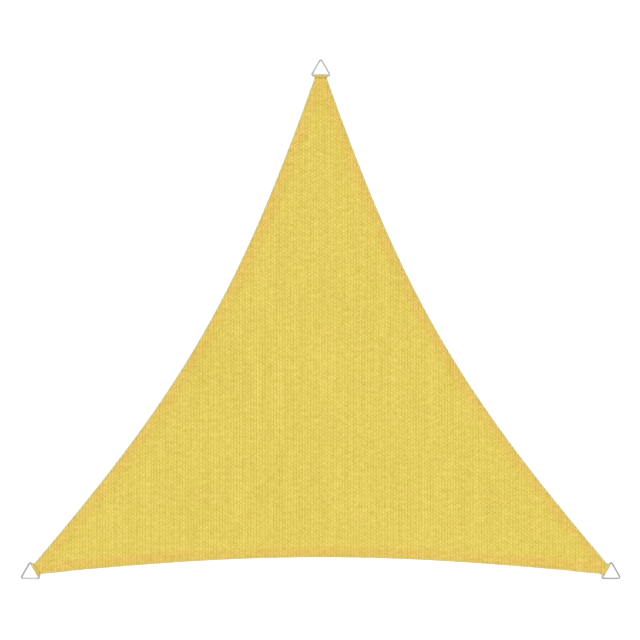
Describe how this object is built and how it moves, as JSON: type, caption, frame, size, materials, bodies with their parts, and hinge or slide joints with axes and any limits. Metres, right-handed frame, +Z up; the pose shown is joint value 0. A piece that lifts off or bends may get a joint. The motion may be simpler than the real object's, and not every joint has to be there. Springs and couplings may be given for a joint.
{
  "type": "shade sail",
  "caption": "Triangular shade sail of knitted cloth with hollow hemmed edges, laid out flat, with a strap and a steel triangle ring at each corner to string it up by.",
  "frame": {"origin": "on the floor, under the middle of the whole part's box", "axes": "+X along the foot edge from the left ring to the right ring, +Y from the foot edge to the top corner, +Z up out of the cloth's face"},
  "size_m": [2, 1.7339, 0.0086],
  "materials": {
    "knitted_cloth": "yellow knitted outdoor cloth, matt, with close vertical ribs",
    "strap_webbing": "yellow ribbed strap, matt, sewn in matching thread",
    "ring_steel": "bent round wire of stainless steel, smooth satin"
  },
  "bodies": {
    "root": {"sail_cloth": "knitted_cloth", "strap_top": "strap_webbing", "strap_left": "strap_webbing", "strap_right": "strap_webbing", "ring_top": "ring_steel", "ring_left": "ring_steel", "ring_right": "ring_steel"}
  },
  "joints": []
}
